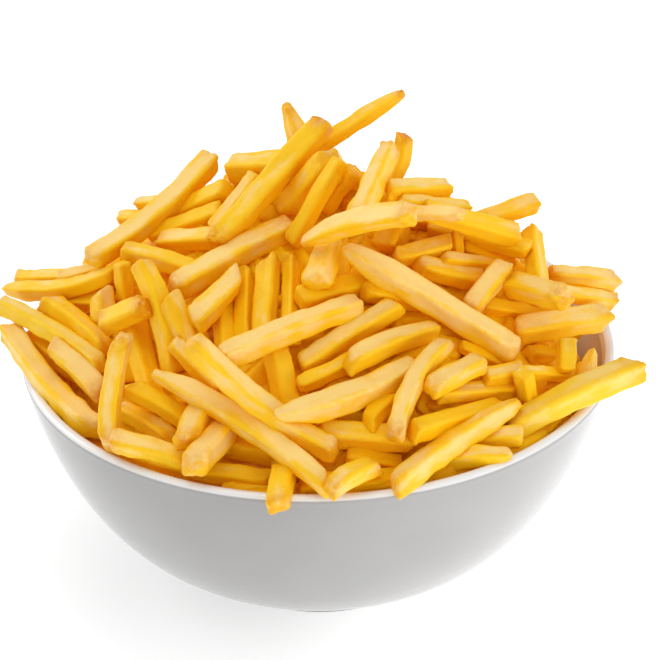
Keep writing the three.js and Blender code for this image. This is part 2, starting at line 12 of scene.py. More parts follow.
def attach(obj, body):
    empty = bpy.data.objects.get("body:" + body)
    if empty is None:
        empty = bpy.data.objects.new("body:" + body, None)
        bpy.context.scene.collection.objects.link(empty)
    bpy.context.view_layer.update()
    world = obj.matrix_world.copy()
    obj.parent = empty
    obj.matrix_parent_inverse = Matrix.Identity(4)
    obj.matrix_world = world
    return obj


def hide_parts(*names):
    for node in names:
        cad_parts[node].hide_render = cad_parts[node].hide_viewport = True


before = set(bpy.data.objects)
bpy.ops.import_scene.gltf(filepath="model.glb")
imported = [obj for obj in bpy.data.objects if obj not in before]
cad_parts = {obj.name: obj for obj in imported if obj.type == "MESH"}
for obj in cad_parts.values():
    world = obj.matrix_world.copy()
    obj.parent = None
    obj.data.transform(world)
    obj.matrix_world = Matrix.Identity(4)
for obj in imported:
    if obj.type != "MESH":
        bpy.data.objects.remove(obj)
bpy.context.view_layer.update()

MM = 0.001
RNG = np.random.default_rng(20)

# ---- bowl: the same driving sizes as the solids ----
RIM_RADIUS = 0.100
RIM_HEIGHT = 0.084
WALL = 0.004
LIP_RADIUS = WALL / 2
BELLY_DEPTH = 0.0789
BELLY_POWER = 1.294
BELLY_ROOT = 3.67
FOOT_TOP_DEPTH = 0.0762
FOOT_RADIUS = 0.0405
FOOT_EDGE = 0.0008
FOOT_HEM = 0.0002  # flat ring inside the rounding of the foot's edge
FOOT_RISE = 0.003  # straight part of the foot's side
LIP_DEPTH = 0.003  # where the outer and inner curves end under the lip
FLOOR_DEPTH = 0.0783  # where the inner curve ends near the axis
LIP_ARC = 15  # degrees between points round the lip
LIP_OUTSIDE = 0.0002  # width of the lip's outermost part, which gets the outside's painted shade grey
BOWL_STEPS = 60
BOWL_SEGMENTS = 192

# ---- mound of hidden fries: height above the rim at each radius ----
MOUND = MM * np.array([
    (0, 47), (20, 47), (36, 43), (50, 37), (62, 30), (72, 22), (79, 14), (85, 3), (91, -12),
])
MOUND_CREST = (0.012, 0.028)
MOUND_FRONT = (0.009, 0.055)  # how much lower it is in front of its crest, over what distance
MOUND_BACK = (0.014, 0.030)
CORE_DEPTH = 0.007  # of the core's skin under the surface that fries are laid on
CORE_GAP = 0.0012  # between the core and the bowl
CORE_WALL_DEPTHS = (FLOOR_DEPTH, FOOT_TOP_DEPTH, 0.067, 0.045, 0.021)
CORE_RADIUS = 0.090
CORE_RINGS = 30
CORE_SEGMENTS = 96
CORE_WOBBLE = 0.0012
CORE_WAVES = (520, 470)  # radians a metre along X and Y

# ---- layout grid: a plane grid square to the diner's line of sight ----
EYE_DISTANCE = 0.900
EYE_ELEVATION = math.radians(29.06)
GRID_STEPS = 2660.7
GRID_CENTRE = 330
RIM_ON_GRID = (318.54, 339.19)
GRID_ROLL = math.radians(1.05)
SENSOR = 36.0

# ---- laying ----
SAMPLES = 13
EDGE_ROUND = 0.18
CONTACT = 0.86
SINK = 0.37
REACH = 0.110
REACH_STEP = 0.001
MAX_SLOPE = math.tan(math.radians(40))

# The fries that show from the diner's side, in laying order from the bottom up: name, first end and
# second end on the grid, apparent width, share of that width that the upper face takes, how far the
# middle bows to the upper side, and tone from 0, pale, to 1, deep orange. The h fries are the ones just
# under the top that the others lean on.
FRIES = [
    ("h1", 232, 190, 300, 178, 26, 0.6, 0, 0.8), ("h2", 288, 184, 352, 192, 26, 0.6, 0, 0.8),
    ("h3", 340, 198, 402, 206, 24, 0.6, 0, 0.8), ("h4", 140, 215, 232, 197, 22, 0.6, 0, 0.8),
    ("h5", 400, 218, 470, 226, 22, 0.6, 0, 0.8), ("h6", 524, 279, 612, 292, 20, 0.6, 0, 0.8),
    ("h9", 500, 258, 545, 300, 22, 0.6, 0, 0.8), ("h10", 58, 303, 112, 302, 20, 0.6, 0, 0.7),
    ("h11", 24, 336, 84, 376, 22, 0.6, 0, 0.7), ("h12", 44, 384, 102, 434, 20, 0.6, 0, 0.7),
    ("h7", 20, 286, 120, 272, 17, 0.5, -8, 0.8), ("h8", 350, 182, 412, 194, 24, 0.6, 0, 0.8),
    ("s1", 286, 105, 312, 172, 25, 0.6, 0, 0.25), ("s28", 138, 203, 182, 200, 15, 0.6, 0, 0.15),
    ("s29", 119, 219, 172, 213, 16, 0.6, 0, 0.6), ("s30", 16, 278, 80, 277, 17, 0.6, 0, 0.35),
    ("s32", 60, 279, 105, 266, 18, 0.6, 0, 0.15), ("s8", 345, 172, 385, 198, 20, 0.6, 0, 0.6),
    ("s5", 404, 92, 300, 158, 18, 0.6, 0, 0.4), ("s10", 404, 134, 383, 190, 20, 0.5, -6, 0.5),
    ("s9b", 370, 197, 405, 195, 14, 0.6, 0, 0.8), ("s11", 388, 190, 449, 188, 22, 0.6, 1, 0.25),
    ("s11b", 400, 200, 467, 208, 16, 0.6, 0, 0.4), ("s15", 537, 202, 470, 223, 22, 0.7, 0, 0.3),
    ("s17", 551, 274, 614, 281, 21, 0.6, 2, 0.2), ("s18", 540, 290, 615, 301, 19, 0.6, 0, 0.3),
    ("s3", 230, 169, 296, 164, 30, 0.5, 0, 0.5), ("s12a", 229, 191, 150, 225, 25, 0.5, 0, 0.8),
    ("s12b", 222, 212, 150, 238, 26, 0.5, 0, 0.75), ("s7b", 352, 168, 322, 212, 24, 0.6, 0, 0.75),
    ("h13", 336, 170, 300, 196, 26, 0.6, 0, 0.7), ("s6", 330, 158, 283, 211, 29, 0.6, 0, 0.3),
    ("s2", 211, 158, 90, 259, 26, 0.6, -8, 0.2), ("s12", 257, 174, 212, 230, 16, 0.6, 0, 0.35),
    ("s33", 122, 252, 203, 275, 24, 0.5, 3, 0.6), ("s34", 159, 241, 222, 238, 24, 0.6, 0, 0.3),
    ("s4", 326, 121, 215, 243, 28, 0.7, 0, 0.45), ("s35", 292, 226, 172, 290, 29, 0.5, 2, 0.2),
    ("s7", 341, 159, 291, 244, 20, 0.55, 0, 0.8), ("s9", 391, 147, 356, 220, 25, 0.6, 0, 0.3),
    ("s16", 532, 229, 538, 288, 21, 0.5, 0, 0.45), ("s14", 428, 226, 529, 250, 20, 0.6, 0, 0.45),
    ("s13", 425, 210, 517, 236, 24, 0.6, 0, 0.35), ("s23b", 462, 248, 512, 262, 20, 0.6, 0, 0.9),
    ("s31", 4, 289, 115, 272, 20, 0.5, -9, 0.5), ("s21", 396, 222, 386, 250, 34, 0.7, 0, 0.8),
    ("s23", 456, 234, 458, 256, 15, 0.6, 0, 0.8), ("s22", 450, 245, 395, 257, 24, 0.6, 0, 0.4),
    ("s25", 442, 258, 494, 264, 14, 0.6, 0, 0.3), ("s24", 418, 266, 484, 282, 25, 0.55, 0, 0.3),
    ("s19", 508, 284, 566, 298, 26, 0.6, 0, 0.4), ("s43", 222, 300, 226, 350, 24, 0.6, 0, 0.75),
    ("s40", 246, 268, 243, 345, 20, 0.6, 0, 0.8), ("s38", 291, 262, 291, 345, 19, 0.6, 0, 0.75),
    ("s37", 268, 263, 264, 345, 27, 0.7, 0, 0.6), ("s39", 298, 300, 380, 279, 27, 0.6, 0, 0.9),
    ("s42", 362, 290, 420, 300, 24, 0.6, 0, 0.7), ("s41", 333, 238, 316, 284, 29, 0.6, 0, 0.25),
    ("s20b", 385, 214, 462, 213, 17, 0.7, 0, 0.1), ("s20", 301, 242, 410, 212, 25, 0.7, 5, 0.05),
    ("b24", 480, 304, 556, 319, 20, 0.6, 0, 0.75), ("b22", 528, 354, 556, 354, 18, 0.6, 0, 0.95),
    ("M", 602, 317, 515, 331, 28, 0.6, 0, 0.3), ("s26", 504, 267, 468, 310, 25, 0.8, 0, 0.05),
    ("a13", 122, 262, 126, 300, 20, 0.6, 0, 0.7), ("a5", 101, 290, 106, 324, 27, 0.6, 0, 0.25),
    ("a9", 132, 318, 154, 405, 30, 0.6, 0, 0.85), ("a10", 140, 262, 174, 374, 24, 0.6, 6, 0.45),
    ("a11", 168, 296, 190, 348, 26, 0.6, 0, 0.4), ("a4", 47, 302, 107, 351, 27, 0.5, 3, 0.55),
    ("a6", 101, 325, 146, 305, 25, 0.6, 0, 0.5), ("a2", 10, 330, 95, 430, 26, 0.7, -6, 0.2),
    ("a1", -3, 303, 101, 366, 23, 0.5, 4, 0.4), ("a3", 51, 345, 103, 394, 23, 0.8, 2, 0.05),
    ("a16", 120, 410, 175, 440, 22, 0.6, 2, 0.35), ("a15", 128, 388, 190, 425, 24, 0.6, 4, 0.65),
    ("a14", 172, 342, 218, 388, 20, 0.6, 0, 0.25), ("c5", 115, 450, 195, 474, 16, 0.6, -2, 0.6),
    ("c4", 185, 466, 272, 480, 22, 0.6, -2, 0.7), ("a7", 123, 337, 109, 448, 25, 0.75, 4, 0.15),
    ("a8", 111, 440, 190, 460, 25, 0.6, 1, 0.35), ("a17", 205, 402, 187, 444, 27, 0.7, 0, 0.25),
    ("c3", 227, 428, 192, 467, 31, 0.6, 0, 0.2), ("s36", 239, 276, 194, 322, 28, 0.7, 0, 0.3),
    ("b9", 274, 345, 290, 416, 30, 0.6, 0, 0.6), ("b8", 298, 386, 356, 360, 22, 0.6, 0, 0.65),
    ("b6", 398, 304, 300, 366, 26, 0.6, 0, 0.35), ("b7", 436, 329, 348, 364, 27, 0.6, 4, 0.3),
    ("b2", 360, 304, 223, 358, 28, 0.5, 2, 0.15), ("b23", 460, 346, 505, 364, 16, 0.6, 0, 0.7),
    ("b10b", 346, 456, 400, 464, 20, 0.6, 0, 0.85), ("b10", 325, 433, 412, 440, 30, 0.6, 0, 0.4),
    ("c1", 284, 466, 278, 507, 25, 0.8, 0, 0.45), ("b4", 153, 374, 328, 487, 25, 0.7, 9, 0.2),
    ("b3", 190, 340, 336, 452, 27, 0.5, -8, 0.2), ("b27", 367, 422, 392, 397, 22, 0.6, 0, 0.85),
    ("b26", 412, 432, 497, 406, 24, 0.6, 0, 0.75), ("b5", 276, 416, 414, 366, 31, 0.55, -7, 0.15),
    ("b13", 516, 388, 438, 395, 23, 0.6, 0, 0.35), ("b12", 482, 361, 430, 388, 26, 0.6, 0, 0.15),
    ("b14", 523, 370, 485, 378, 20, 0.6, 0, 0.3), ("b19", 520, 371, 580, 377, 16, 0.6, 0, 0.45),
    ("b20", 566, 340, 566, 372, 22, 0.3, 0, 0.7), ("b21", 593, 350, 585, 380, 20, 0.6, 0, 0.35),
    ("b25", 523, 372, 530, 404, 20, 0.6, 0, 0.4), ("b18", 636, 368, 508, 429, 32, 0.45, 2, 0.3),
    ("b16", 523, 435, 462, 440, 22, 0.6, 0, 0.35), ("b17", 511, 455, 425, 462, 25, 0.5, 2, 0.35),
    ("b11", 447, 341, 395, 436, 22, 0.7, 9, 0.1), ("b15", 520, 402, 394, 488, 27, 0.4, 4, 0.25),
    ("c2", 376, 464, 330, 489, 25, 0.6, 2, 0.3), ("s27", 344, 248, 517, 352, 31, 0.5, 0, 0.05),
]
OPEN_BELOW = {"s1", "s2", "s5", "s10", "s15", "s17", "s30", "s31", "h7"}  # with nothing but air under them
# Fries whose first end comes to a point, or is round.
POINTED = {"s1", "s5", "s20", "s27", "s31", "b4", "b5", "b21", "b17", "b15"}
ROUNDED = {"s4", "s7", "s3", "b7"}
DARK_TIPS = {"s4", "a6", "s10", "s5"}
GREENISH = {"b18", "a1"}

# ---- fries laid by rule ----
# Bands of the mound as a radius in mm and how many fries lie in each.
COVER_BANDS = ((86, 36), (74, 32), (62, 26), (50, 22), (38, 16), (26, 12))
COVER_PASSES = 2
COVER_SPREAD = 0.009
COVER_THICKNESS = (0.0075, 0.0095)
COVER_LENGTH = (0.030, 0.056)
COVER_CONTACT = 0.66
COVER_SLOPE = math.tan(math.radians(14))
COVER_LIFT = 1.2  # how much more upright than the mound's own normal such a fry drops
COVER_REACH = 0.103  # how far from the bowl's axis such a fry may go
COVER_TURN = math.pi / 2  # how far its direction and its faces are turned by chance
COVER_TONES = (0.05, 0.75)
OVER_LIP = 0.4  # height over the rim, as a share of its thickness, where it may reach over the lip
WALL_ROOM = 0.55  # room that it keeps to the wall below that, as a share of its thickness
COVER_SEED = 7
COVER_TRIES = 80
DRAPE_COUNT = 20  # fries laid flat on the back of the mound between those
DRAPE_TRIES = 20
DRAPE_ARC = (-0.1, 1.1)
DRAPE_RADIUS = 0.084
DRAPE_HEIGHT = (0.1, 0.9)
DRAPE_TILT = math.radians(12)
EXTRA_DRAPES = 150
EXTRA_SEED = 11
SKY_MARGIN = 0.0014
CELL = 4  # of the coarse grid, in grid steps
SCREEN_STEP = 0.002
UNDER_BANDS = ((88, 54), (80, 50), (71, 46), (61, 40), (50, 33), (38, 25), (25, 16), (10, 7))
UNDER_LENGTH = (0.030, 0.046)
UNDER_THICKNESS = (0.0070, 0.0092)
UNDER_SPREAD = 0.003
UNDER_SINK = 0.001  # of a fry's top below the mound's surface
UNDER_TURN = 0.8
# Tones of the under fries run deep: partly their own colour and partly painted shade for the gaps deep in the
# heap.
UNDER_TONES = (0.75, 1.2)
UNDER_ROOM = 0.6  # room to the wall, as a share of the thickness

# ---- ring of fries along the inside of the lip ----
RIM_COUNT = 40
RIM_JITTER = (0.2, 0.8)
RIM_BARE = (-0.35, 0.6)  # angles between which the wall shows bare
RIM_LENGTH = (0.024, 0.036)
RIM_TILT = 0.12
RIM_TOP = 0.35  # below the rim, as a share of the thickness
RIM_DROP = 0.02  # how far down a place is looked for
RIM_STEP = 0.002
RIM_CONTACT = 0.40
RIM_TONES = (0.5, 1.0)

RIM_CENTRE = np.array([0, 0, RIM_HEIGHT])
UP = np.array([0.0, 0.0, 1.0])


def unit(v):
    return v / np.linalg.norm(v)


def turned(v, axis, angle):
    return (v * math.cos(angle) + np.cross(axis, v) * math.sin(angle)
            + axis * np.dot(axis, v) * (1 - math.cos(angle)))


# ---- layout grid ----

def grid_view():
    """Eye, forward, right and up of the layout grid, which are the camera's too."""
    forward = np.array([0, math.cos(EYE_ELEVATION), -math.sin(EYE_ELEVATION)])
    right = np.array([1.0, 0, 0])
    up = np.cross(right, forward)
    eye = RIM_CENTRE - forward * EYE_DISTANCE
    turn = math.atan((RIM_ON_GRID[0] - GRID_CENTRE) / GRID_STEPS)
    tilt = math.atan((RIM_ON_GRID[1] - GRID_CENTRE) / GRID_STEPS)
    forward, right = turned(forward, up, turn), turned(right, up, turn)
    forward, up = turned(forward, right, tilt), turned(up, right, tilt)
    right, up = turned(right, forward, GRID_ROLL), turned(up, forward, GRID_ROLL)
    return eye, forward, right, up


EYE, FORWARD, RIGHT, GRID_UP = grid_view()


def grid_direction(u, v):
    ray = FORWARD + RIGHT * ((u - GRID_CENTRE) / GRID_STEPS) - GRID_UP * ((v - GRID_CENTRE) / GRID_STEPS)
    return unit(ray)


def grid_point(point):
    offset = point - EYE
    depth = offset @ FORWARD
    return (GRID_CENTRE + GRID_STEPS * (offset @ RIGHT) / depth,
            GRID_CENTRE - GRID_STEPS * (offset @ GRID_UP) / depth, depth)


# ---- bowl and ground ----

def outer_radius(depth):
    return RIM_RADIUS * (1 - np.clip(depth / BELLY_DEPTH, 0, 1) ** BELLY_POWER) ** (1 / BELLY_ROOT)


def belly_point(depth, inward):
    """A point on the bowl's outer curve, moved inward by a distance."""
    step = 0.00005
    dr = outer_radius(depth + step) - outer_radius(depth - step)
    dz = -2 * step
    length = math.hypot(dr, dz)
    return outer_radius(depth) + inward * dz / length, RIM_HEIGHT - depth - inward * dr / length


INNER = np.array([belly_point(depth, WALL) for depth in np.linspace(FLOOR_DEPTH, LIP_RADIUS, BOWL_STEPS)])


def mound_height(x, y):
    front = MOUND_FRONT[0] * np.clip((MOUND_CREST[0] - y) / MOUND_FRONT[1], 0, 1)
    back = MOUND_BACK[0] * np.clip((y - MOUND_CREST[1]) / MOUND_BACK[1], 0, 1)
    return RIM_HEIGHT + np.interp(np.hypot(x, y), MOUND[:, 0], MOUND[:, 1]) - front - back


def mound_slopes(x, y):
    step = 0.002
    return ((mound_height(x + step, y) - mound_height(x - step, y)) / (2 * step),
            (mound_height(x, y + step) - mound_height(x, y - step)) / (2 * step))


def mound_normal(x, y):
    dx, dy = mound_slopes(x, y)
    return unit(np.array([-dx, -dy, 1.0]))


def ground_clearance(p):
    """Distance from points to the mound, the lip and the walls, negative inside them."""
    x, y, z = p[..., 0], p[..., 1], p[..., 2]
    r = np.hypot(x, y)
    dx, dy = mound_slopes(x, y)
    above = (z - mound_height(x, y)) / np.sqrt(1 + dx * dx + dy * dy)
    lip = np.hypot(r - RIM_RADIUS + LIP_RADIUS, z - RIM_HEIGHT + LIP_RADIUS) - LIP_RADIUS
    high = z > RIM_HEIGHT - LIP_RADIUS
    wall_in = np.where(high, lip, np.interp(z, INNER[:, 1], INNER[:, 0]) - r)
    wall_out = np.where(high, lip, r - outer_radius(RIM_HEIGHT - z))
    inside = np.minimum(np.minimum(above, lip), wall_in)
    return np.where(r > RIM_RADIUS - LIP_RADIUS, np.minimum(lip, wall_out), inside)


# ---- laying the fries ----

class Laid:
    """The fries laid so far, as sample points with a thickness each."""

    def __init__(self):
        self.points = np.zeros((0, 3))
        self.thickness = np.zeros(0)

    def add(self, fry):
        self.points = np.concatenate([self.points, fry["points"]])
        self.thickness = np.concatenate([self.thickness, np.full(SAMPLES, fry["thickness"])])


def rest_heights(origins, directions, thickness, laid, contact):
    """How far up its line each point of a fry sits when it rests on the ground and the fries laid before."""
    t = np.arange(REACH, -REACH, -REACH_STEP)
    probe = origins[:, None] + directions[:, None] * t[None, :, None]
    gap = ground_clearance(probe) - SINK * thickness
    hit = gap < 0
    first = hit.argmax(1)
    heights = np.where(hit.any(1), t[first], -np.inf)
    if len(laid.points):
        reach = contact * (thickness + laid.thickness) / 2
        offset = laid.points[None] - origins[:, None]
        along = np.einsum("ijk,ik->ij", offset, directions)
        off2 = (offset ** 2).sum(2) - along ** 2
        rise = np.where(off2 < reach ** 2, along + np.sqrt(np.maximum(reach ** 2 - off2, 0)), -np.inf)
        heights = np.maximum(heights, rise.max(1))
    if np.isinf(heights).all():
        k = gap.min(1).argmin()
        heights[k] = t[gap[k].argmin()]
    return heights


def rest_line(heights, max_slope):
    """The straight line over the rest heights that touches them on both sides of the middle."""
    last = len(heights) - 1
    middle = last / 2
    best, slope = -np.inf, 0.0
    for i in range(int(middle) + 1):
        for j in range(math.ceil(middle), last + 1):
            if i != j and np.isfinite(heights[i]) and np.isfinite(heights[j]):
                s = (heights[j] - heights[i]) / (j - i)
                if heights[i] + s * (middle - i) > best:
                    best, slope = heights[i] + s * (middle - i), s
    slope = min(max(slope, -max_slope), max_slope)
    k = np.arange(last + 1)
    return (heights - slope * k).max() + slope * k


def lay(origins, directions, thickness, laid, contact=CONTACT, max_slope=MAX_SLOPE):
    heights = rest_heights(origins, directions, thickness, laid, contact)
    step = np.linalg.norm(origins[-1] - origins[0]) / (SAMPLES - 1)
    return origins + directions * rest_line(heights, max_slope * step)[:, None]


def lay_shown(row, laid):
    """A fry read from the grid."""
    name, u1, v1, u2, v2, width, share, bow, tone = row
    across = np.array([v2 - v1, -(u2 - u1)]) / math.hypot(u2 - u1, v2 - v1)
    if across[1] > 0 or (abs(across[1]) < 1e-9 and across[0] > 0):
        across = -across
    s = np.linspace(0, 1, SAMPLES)
    lift = 4 * s * (1 - s) * bow
    rays = np.array([grid_direction(u, v) for u, v in zip(u1 + (u2 - u1) * s + across[0] * lift,
                                                          v1 + (v2 - v1) * s + across[1] * lift)])
    turn = math.atan2(1 - share, share)
    spread = math.cos(turn) + math.sin(turn)
    thickness = width * EYE_DISTANCE / GRID_STEPS / (spread - 2 * EDGE_ROUND * (spread - 1))
    origins = EYE + rays * EYE_DISTANCE
    points = lay(origins, -rays, thickness, laid)
    middle = SAMPLES // 2
    thickness *= np.linalg.norm(points[middle] - EYE) / EYE_DISTANCE
    points = lay(origins, -rays, thickness, laid)
    upper = RIGHT * across[0] - GRID_UP * across[1]
    face = -rays[middle] * math.cos(turn) + upper * math.sin(turn)
    return {"name": name, "points": points, "thickness": thickness, "face": face, "tone": tone}


def number_drawer(seed):
    state = seed
    while True:
        state = (state * 1664525 + 1013904223) % 4294967296
        yield state / 4294967296


def cells_near(u, v, reach, cells):
    """Rows and columns of the coarse grid within reach of a place, and whether any lies outside it."""
    rows = np.arange(math.floor((v - reach) / CELL), math.floor((v + reach) / CELL) + 1)
    columns = np.arange(math.floor((u - reach) / CELL), math.floor((u + reach) / CELL) + 1)
    rows, columns = (a.ravel() for a in np.meshgrid(rows, columns, indexing="ij"))
    near = np.hypot((columns + 0.5) * CELL - u, (rows + 0.5) * CELL - v) <= reach
    rows, columns = rows[near], columns[near]
    inside = (rows >= 0) & (rows < cells) & (columns >= 0) & (columns < cells)
    return rows[inside], columns[inside], not inside.all()


def depth_screen(shown):
    """The nearest depth of the shown fries and the mound at each cell, with gaps below the top filled."""
    cells = math.ceil(2 * GRID_CENTRE / CELL)
    depths = np.full((cells, cells), np.inf)
    solid = np.zeros((cells, cells), bool)
    for fry in shown:
        for k in range(SAMPLES - 1):
            for share in (0, 0.5, 1):
                u, v, depth = grid_point(fry["points"][k] * (1 - share) + fry["points"][k + 1] * share)
                rows, columns, _ = cells_near(u, v, 0.5 * fry["thickness"] * GRID_STEPS / depth, cells)
                depths[rows, columns] = np.minimum(depths[rows, columns], depth)
                solid[rows, columns] |= fry["name"] not in OPEN_BELOW
    places = (np.arange(cells) + 0.5) * CELL
    rays = np.array([[grid_direction(u, v) for u in places] for v in places])
    for t in np.arange(EYE_DISTANCE + REACH, EYE_DISTANCE - REACH, -SCREEN_STEP):
        hit = ground_clearance(EYE + rays * t) < 0
        depth = t * (rays @ FORWARD)
        depths = np.where(hit & (depth < depths), depth, depths)
        solid |= hit
    for column in range(cells):
        above = np.inf
        for row in range(cells):
            if np.isinf(depths[row, column]):
                depths[row, column] = above
            if solid[row, column]:
                above = depths[row, column]
    return depths


def is_hidden(fry, depths):
    for point in fry["points"]:
        u, v, depth = grid_point(point)
        reach = (0.5 * fry["thickness"] + SKY_MARGIN) * GRID_STEPS / depth
        rows, columns, outside = cells_near(u, v, reach, len(depths))
        if outside or not (depths[rows, columns] < depth).all():
            return False
    return True


def is_held(fry):
    """Whether a fry laid by rule lies inside the bowl or over its lip."""
    points, thickness = fry["points"], fry["thickness"]
    walls = np.interp(points[:, 2], INNER[:, 1], INNER[:, 0]) - WALL_ROOM * thickness
    limit = np.where(points[:, 2] > RIM_HEIGHT + OVER_LIP * thickness, COVER_REACH, walls)
    return (np.hypot(points[:, 0], points[:, 1]) < limit).all()


def start_of(radius, angle, draw):
    """What a fry laid by rule starts from: its size and turns by chance, and the mound's directions there."""
    thickness = COVER_THICKNESS[0] + next(draw) * (COVER_THICKNESS[1] - COVER_THICKNESS[0])
    length = COVER_LENGTH[0] + next(draw) * (COVER_LENGTH[1] - COVER_LENGTH[0])
    heading = (next(draw) + next(draw) - 1) * COVER_TURN
    turn = (next(draw) - 0.5) * COVER_TURN
    x, y = radius * math.cos(angle), radius * math.sin(angle)
    middle = np.array([x, y, mound_height(x, y)])
    normal = mound_normal(x, y)
    around = np.array([-math.sin(angle), math.cos(angle), 0])
    around = unit(around - normal * (around @ normal))
    along = around * math.cos(heading) + np.cross(around, normal) * math.sin(heading)
    face = normal * math.cos(turn) + np.cross(normal, along) * math.sin(turn)
    return thickness, length, middle, normal, along, face


def points_along(middle, along, length):
    return middle + along * ((np.arange(SAMPLES) / (SAMPLES - 1) - 0.5) * length)[:, None]


def ruled_fry(points, thickness, face, depths):
    """A fry laid by rule, or None where it would show or isn't held."""
    fry = {"name": "cover", "points": points, "thickness": thickness, "face": face}
    if not (is_held(fry) and is_hidden(fry, depths)):
        return None
    fry["tone"] = RNG.uniform(*COVER_TONES)
    return fry


def lay_cover(radius, angle, draw, laid, depths):
    """A fry that comes to rest on the mound and on those laid before it."""
    thickness, length, middle, normal, along, face = start_of(radius, angle, draw)
    over = {"points": [middle + normal * 0.5 * thickness], "thickness": thickness}
    if not is_hidden(over, depths):
        return None
    rise = unit(normal + UP * COVER_LIFT)
    origins = points_along(middle, along, length)
    points = lay(origins, np.tile(rise, (SAMPLES, 1)), thickness, laid, COVER_CONTACT, COVER_SLOPE)
    return ruled_fry(points, thickness, face, depths)


def lay_drape(draw, depths):
    """A fry flat on the back of the mound whatever else lies there."""
    angle = math.pi * (DRAPE_ARC[0] + next(draw) * (DRAPE_ARC[1] - DRAPE_ARC[0]))
    radius = DRAPE_RADIUS * math.sqrt(next(draw))
    thickness, length, middle, normal, along, face = start_of(radius, angle, draw)
    tilt = (2 * next(draw) - 1) * DRAPE_TILT
    height = DRAPE_HEIGHT[0] + next(draw) * (DRAPE_HEIGHT[1] - DRAPE_HEIGHT[0])
    middle = middle + normal * height * thickness
    along = along * math.cos(tilt) + normal * math.sin(tilt)
    return ruled_fry(points_along(middle, along, length), thickness, face, depths)


def lay_drapes(count, draw, depths):
    drapes = []
    for i in range(count):
        for _ in range(DRAPE_TRIES):
            fry = lay_drape(draw, depths)
            if fry:
                drapes.append(fry)
            if len(drapes) > i:
                break
    return drapes


def lay_all():
    laid = Laid()
    shown = []
    for row in FRIES:
        shown.append(lay_shown(row, laid))
        laid.add(shown[-1])
    rim = rim_layer(laid)
    depths = depth_screen(shown)
    draw = number_drawer(COVER_SEED)
    cover = lay_drapes(DRAPE_COUNT, draw, depths)
    for _ in range(COVER_PASSES):
        for radius_mm, count in COVER_BANDS:
            for i in range(count):
                for _ in range(COVER_TRIES):
                    angle = (i + next(draw)) / count * 2 * math.pi
                    radius = radius_mm * MM + (next(draw) - 0.5) * COVER_SPREAD
                    fry = lay_cover(radius, angle, draw, laid, depths)
                    if fry:
                        cover.append(fry)
                        laid.add(fry)
                        break
    return shown, cover + lay_drapes(EXTRA_DRAPES, number_drawer(EXTRA_SEED), depths), rim


def rim_layer(laid):
    """Fries along the inside of the lip, each as high as the shown ones leave it room."""
    fries = []
    for i in range(RIM_COUNT):
        angle = (i + RNG.uniform(*RIM_JITTER)) / RIM_COUNT * 2 * math.pi
        if RIM_BARE[0] < (angle + math.pi) % (2 * math.pi) - math.pi < RIM_BARE[1]:
            continue
        thickness = RNG.uniform(*UNDER_THICKNESS)
        length = RNG.uniform(*RIM_LENGTH)
        turn = RNG.uniform(-UNDER_TURN, UNDER_TURN)
        tilt = RNG.uniform(-RIM_TILT, RIM_TILT)
        around = np.array([-math.sin(angle), math.cos(angle), tilt])
        for height in np.arange(RIM_HEIGHT - RIM_TOP * thickness, RIM_HEIGHT - RIM_DROP, -RIM_STEP):
            spare = np.interp(height, INNER[:, 1], INNER[:, 0]) - UNDER_ROOM * thickness
            radius = math.sqrt(spare ** 2 - (length / 2) ** 2)
            centre = np.array([radius * math.cos(angle), radius * math.sin(angle), height])
            points = centre + around * np.linspace(-length / 2, length / 2, SAMPLES)[:, None]
            apart = np.linalg.norm(points[:, None] - laid.points[None], axis=2)
            if (apart > RIM_CONTACT * (thickness + laid.thickness)).all():
                break
        else:
            continue
        outward = np.array([math.cos(angle), math.sin(angle), 0])
        face = UP * math.cos(turn) + outward * math.sin(turn)
        fries.append({"name": "under", "points": points, "thickness": thickness, "face": face,
                      "tone": RNG.uniform(*RIM_TONES)})
    return fries


def under_layer():
    """Short fries half sunk in the mound all over, which show in the gaps."""
    fries = []
    for radius_mm, count in UNDER_BANDS:
        for i in range(count):
            angle = (i + RNG.uniform()) / count * 2 * math.pi
            radius = radius_mm * MM + RNG.uniform(-UNDER_SPREAD, UNDER_SPREAD)
            x, y = radius * math.cos(angle), radius * math.sin(angle)
            thickness = RNG.uniform(*UNDER_THICKNESS)
            length = RNG.uniform(*UNDER_LENGTH)
            normal = mound_normal(x, y)
            around = unit(np.cross(normal, RNG.normal(size=3)))
            centre = np.array([x, y, mound_height(x, y)]) - normal * (0.5 * thickness + UNDER_SINK)
            points = centre + around * np.linspace(-length / 2, length / 2, SAMPLES)[:, None]
            radii = np.hypot(points[:, 0], points[:, 1])
            walls = np.interp(points[:, 2], INNER[:, 1], INNER[:, 0]) - UNDER_ROOM * thickness
            if (radii > walls).any():
                points[:, :2] *= (walls / radii).min()
            turn = RNG.uniform(-UNDER_TURN, UNDER_TURN)
            face = normal * math.cos(turn) + np.cross(normal, around) * math.sin(turn)
            fries.append({"name": "under", "points": points, "thickness": thickness, "face": face,
                          "tone": RNG.uniform(*UNDER_TONES)})
    return fries


# ---- meshes ----

CORNER_STEPS = 5
FACE_DIP = 0.03  # how far a face sinks at its middle, as a share of the thickness
END_SCALES = ((0.0, 0.66), (0.03, 0.82), (0.09, 0.93), (0.2, 0.985), (0.4, 1.0))
RING_STEP = 0.0022
FACE_DIPS = ((-0.14, 0.8), (0.0, 1.0), (0.14, 0.8))  # place across a face, and share of the dip there
EDGE_FADE = 0.4  # how much less a corner counts as edge at its two sides
BLUNTNESS = (0.7, 2.0)  # power of the end scales
ROUND_END = 2.6
ROUND_CUT = 0.3
BEND = 0.035
BEND_WAVES = (1.2, 2.6)  # half waves along a fry
USUAL_THICKNESS = 0.008
ANY_PHASE = 6
POINT_SIZE = 0.42  # of a pointed end, as a share of the full thickness
POINT_LENGTH = 1.9  # in thicknesses
POINT_POWER = 0.8
TAPER = 0.16
SWELL = 0.035
SWELL_LENGTH = 0.011
ASPECTS = (0.97, 1.10)
